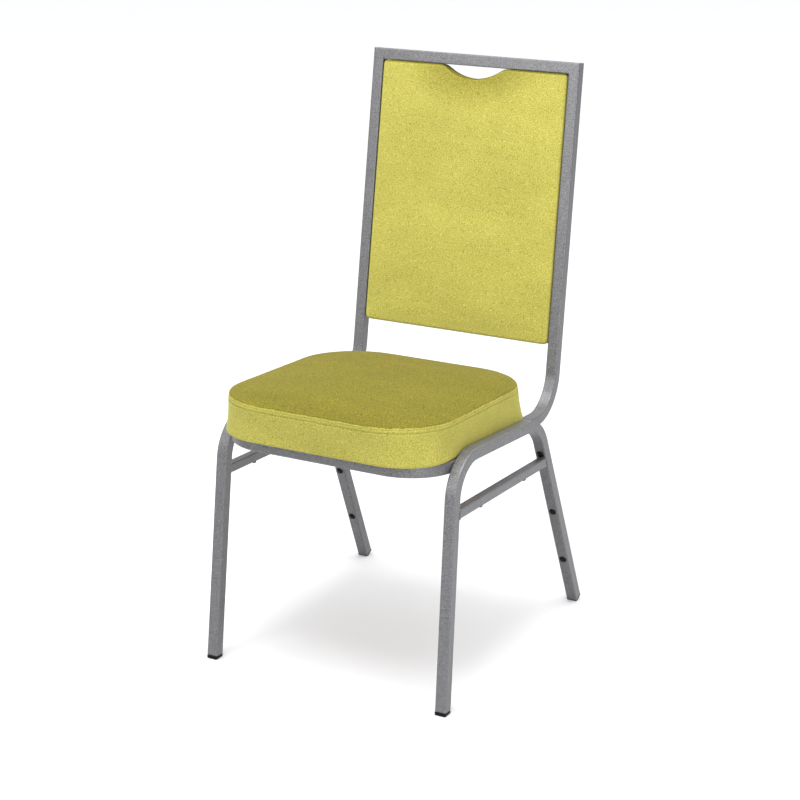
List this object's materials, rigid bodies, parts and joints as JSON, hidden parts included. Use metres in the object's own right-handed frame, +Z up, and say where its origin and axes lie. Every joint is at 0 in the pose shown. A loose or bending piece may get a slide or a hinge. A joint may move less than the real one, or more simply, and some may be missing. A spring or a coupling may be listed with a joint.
{
  "type": "stacking chair",
  "caption": "Armless stacking chair: welded square steel tube frame, box seat cushion and padded back in velvet, black feet and stacking buffers.",
  "frame": {"origin": "on the floor under the middle of the chair's overall box", "axes": "+Z up; +X to the right of someone who looks at the chair's front; the sitter faces -Y"},
  "size_m": [0.4428, 0.5674, 0.9392],
  "materials": {
    "frame_coat": "silver-grey powder coat, fine texture, satin",
    "upholstery": "lime-olive velvet, short mottled pile",
    "foam": "cut polyurethane foam, matt",
    "plywood": "bare rotary-cut plywood",
    "black_plastic": "moulded black plastic, slight sheen",
    "screw_steel": "bright zinc plate"
  },
  "bodies": {
    "root": {"back_board": "plywood", "back_cover": "upholstery", "back_foam": "foam", "back_lug_lower_left": "frame_coat", "back_lug_lower_right": "frame_coat", "back_lug_upper_left": "frame_coat", "back_lug_upper_right": "frame_coat", "back_rear_panel": "upholstery", "back_screw_lower_left": "screw_steel", "back_screw_lower_right": "screw_steel", "back_screw_upper_left": "screw_steel", "back_screw_upper_right": "screw_steel", "foot_front_left": "black_plastic", "foot_front_right": "black_plastic", "foot_rear_left": "black_plastic", "foot_rear_right": "black_plastic", "leg_buffer_left_1": "black_plastic", "leg_buffer_left_2": "black_plastic", "leg_buffer_left_3": "black_plastic", "leg_buffer_right_1": "black_plastic", "leg_buffer_right_2": "black_plastic", "leg_buffer_right_3": "black_plastic", "leg_frame_left": "frame_coat", "leg_frame_right": "frame_coat", "rear_cross_tube": "frame_coat", "seat_board": "plywood", "seat_cover_band": "upholstery", "seat_cover_top": "upholstery", "seat_foam": "foam", "seat_screw_front_left": "screw_steel", "seat_screw_front_right": "screw_steel", "seat_screw_rear_left": "screw_steel", "seat_screw_rear_right": "screw_steel", "seat_tab_front_left": "frame_coat", "seat_tab_front_right": "frame_coat", "seat_tab_rear_left": "frame_coat", "seat_tab_rear_right": "frame_coat", "side_tube_left": "frame_coat", "side_tube_right": "frame_coat", "stretcher_buffer_left_1": "black_plastic", "stretcher_buffer_left_2": "black_plastic", "stretcher_buffer_right_1": "black_plastic", "stretcher_buffer_right_2": "black_plastic", "stretcher_left": "frame_coat", "stretcher_right": "frame_coat", "top_rail": "frame_coat"}
  },
  "joints": []
}
